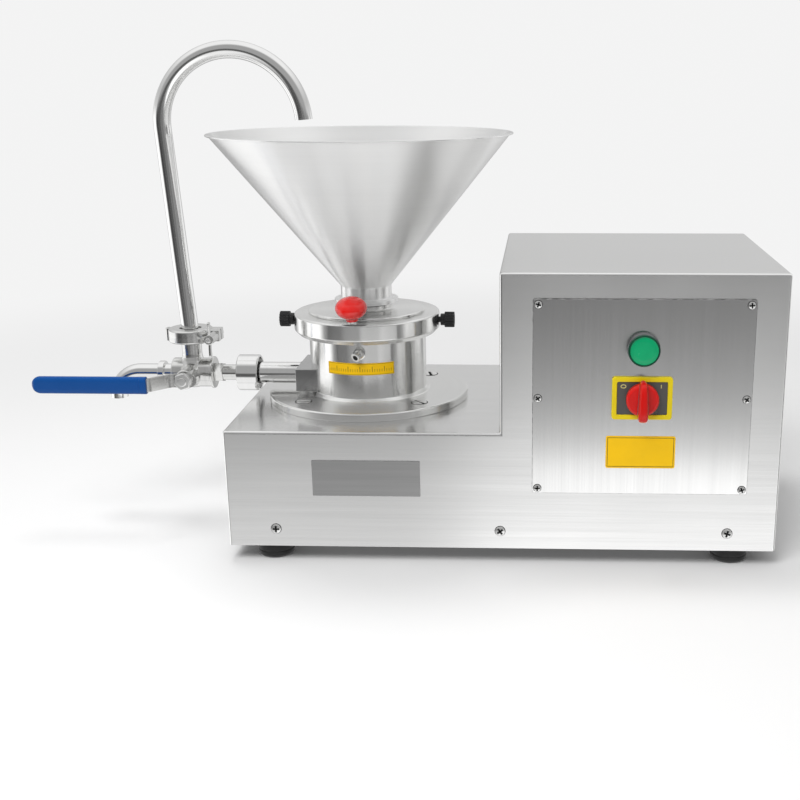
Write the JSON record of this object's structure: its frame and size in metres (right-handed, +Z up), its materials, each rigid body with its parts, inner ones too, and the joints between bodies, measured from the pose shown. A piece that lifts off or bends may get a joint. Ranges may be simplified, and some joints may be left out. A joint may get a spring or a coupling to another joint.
{
  "type": "nut butter grinder",
  "caption": "Table-top nut butter grinder: stainless base with motor cabinet, cone hopper over a stone mill, three-way outlet valve and return pipe.",
  "frame": {"origin": "centre of the front left foot's sole, on the floor", "axes": "+X to the right along the base, towards the motor cabinet; +Y to the back; +Z up"},
  "size_m": [0.73, 0.3155, 0.4816],
  "materials": {
    "brushed_sheet": "satin, horizontal grain",
    "polished_steel": "polished",
    "hopper_steel": "bright brushed",
    "fastener_steel": "bright",
    "machined_steel": "machined",
    "black_rubber": "matte",
    "black_plastic": "fine textured",
    "nameplate_aluminium": "matte anodised",
    "yellow_label": "printed film",
    "green_plastic": "gloss",
    "yellow_plastic": "satin",
    "grey_plastic": "satin",
    "red_plastic": "gloss",
    "blue_vinyl": "dipped vinyl",
    "motor_paint": "enamel",
    "bracket_paint": "powder coat",
    "cast_iron": "machined faces"
  },
  "bodies": {
    "base": {"housing_shell": "brushed_sheet", "base_tray": "brushed_sheet", "tray_screws": "fastener_steel", "feet": "black_rubber", "control_panel": "brushed_sheet", "back_cover": "brushed_sheet", "cover_screws": "fastener_steel", "nameplate": "nameplate_aluminium", "panel_label": "yellow_label", "cable_gland": "black_plastic", "button_bezel": "black_plastic", "button_block": "black_plastic", "switch_frame": "yellow_plastic", "switch_face": "grey_plastic", "switch_block": "black_plastic", "motor_bracket": "bracket_paint", "motor_flange": "motor_paint", "motor_bolts": "fastener_steel", "motor_barrel": "motor_paint", "fan_cover": "motor_paint", "terminal_box": "motor_paint", "drive_belt": "black_rubber", "bearing_housing": "cast_iron", "spindle_bearings": "machined_steel", "shaft_seal": "black_rubber", "mill_body": "polished_steel", "flange_bolts": "fastener_steel", "cooling_nipple": "polished_steel", "scale_band": "yellow_label", "outlet_pipe": "polished_steel", "union_ring": "polished_steel", "valve_body": "polished_steel", "discharge_spout": "polished_steel", "pipe_clamp": "polished_steel", "clamp_bolt": "fastener_steel"},
    "button": {"button_cap": "green_plastic"},
    "switch": {"switch_knob": "red_plastic"},
    "motor_rotor": {"motor_shaft": "machined_steel", "motor_fan": "black_plastic", "drive_pulley": "cast_iron"},
    "spindle_set": {"spindle": "machined_steel", "spindle_nut": "fastener_steel", "driven_pulley": "cast_iron", "rotor": "polished_steel", "rotor_nut": "fastener_steel"},
    "ring_set": {"adjusting_ring": "polished_steel", "stator": "polished_steel", "ring_cover": "polished_steel", "adjusting_stud": "fastener_steel", "adjusting_knob": "red_plastic", "hopper": "hopper_steel", "hopper_gasket": "black_rubber"},
    "lock_left": {"lock_screw_left": "black_plastic"},
    "lock_right": {"lock_screw_right": "black_plastic"},
    "valve_lever": {"valve_ball": "polished_steel", "valve_stem": "fastener_steel", "valve_handle": "machined_steel", "handle_grip": "blue_vinyl"},
    "return_pipe_set": {"return_pipe": "polished_steel"},
    "wing_nut": {"clamp_wing_nut": "fastener_steel"}
  },
  "joints": [
    {"name": "button_press", "type": "slide", "parent": "base", "child": "button", "axis": [0, 1, 0], "range_m": [0, 0.003], "stiffness_N_per_m": 400, "springref_m": -0.002},
    {"name": "switch_turn", "type": "hinge", "parent": "base", "child": "switch", "pos_m": [0.35, -0.029, 0.166], "axis": [0, 1, 0], "range_deg": [0, 90]},
    {"name": "motor_spin", "type": "hinge", "parent": "base", "child": "motor_rotor", "pos_m": [0.35, 0.111, 0.1], "axis": [0, 0, 1], "continuous": true},
    {"name": "spindle_spin", "type": "hinge", "parent": "base", "child": "spindle_set", "pos_m": [0.08, 0.111, 0.1], "axis": [0, 0, 1], "continuous": true},
    {"name": "ring_adjust", "type": "hinge", "parent": "base", "child": "ring_set", "pos_m": [0.08, 0.111, 0.2], "axis": [0, 0, 1], "range_deg": [-60, 60]},
    {"name": "lock_screw_left_turn", "type": "hinge", "parent": "ring_set", "child": "lock_left", "pos_m": [0.0065, 0.111, 0.2098], "axis": [1, 0, 0], "range_deg": [-360, 360]},
    {"name": "lock_screw_right_turn", "type": "hinge", "parent": "ring_set", "child": "lock_right", "pos_m": [0.1535, 0.111, 0.2098], "axis": [1, 0, 0], "range_deg": [-360, 360]},
    {"name": "valve_turn", "type": "hinge", "parent": "base", "child": "valve_lever", "pos_m": [-0.103, 0.091, 0.153], "axis": [0, 1, 0], "range_deg": [0, 90]},
    {"name": "return_pipe_swivel", "type": "hinge", "parent": "base", "child": "return_pipe_set", "pos_m": [-0.103, 0.111, 0.19315], "axis": [0, 0, 1], "range_deg": [-90, 90]},
    {"name": "wing_nut_turn", "type": "hinge", "parent": "base", "child": "wing_nut", "pos_m": [-0.0765, 0.085, 0.19315], "axis": [0, 1, 0], "range_deg": [-360, 360]}
  ],
  "couplings": [
    {"joint": "motor_spin", "follows": "spindle_spin", "ratio": 0.8}
  ]
}
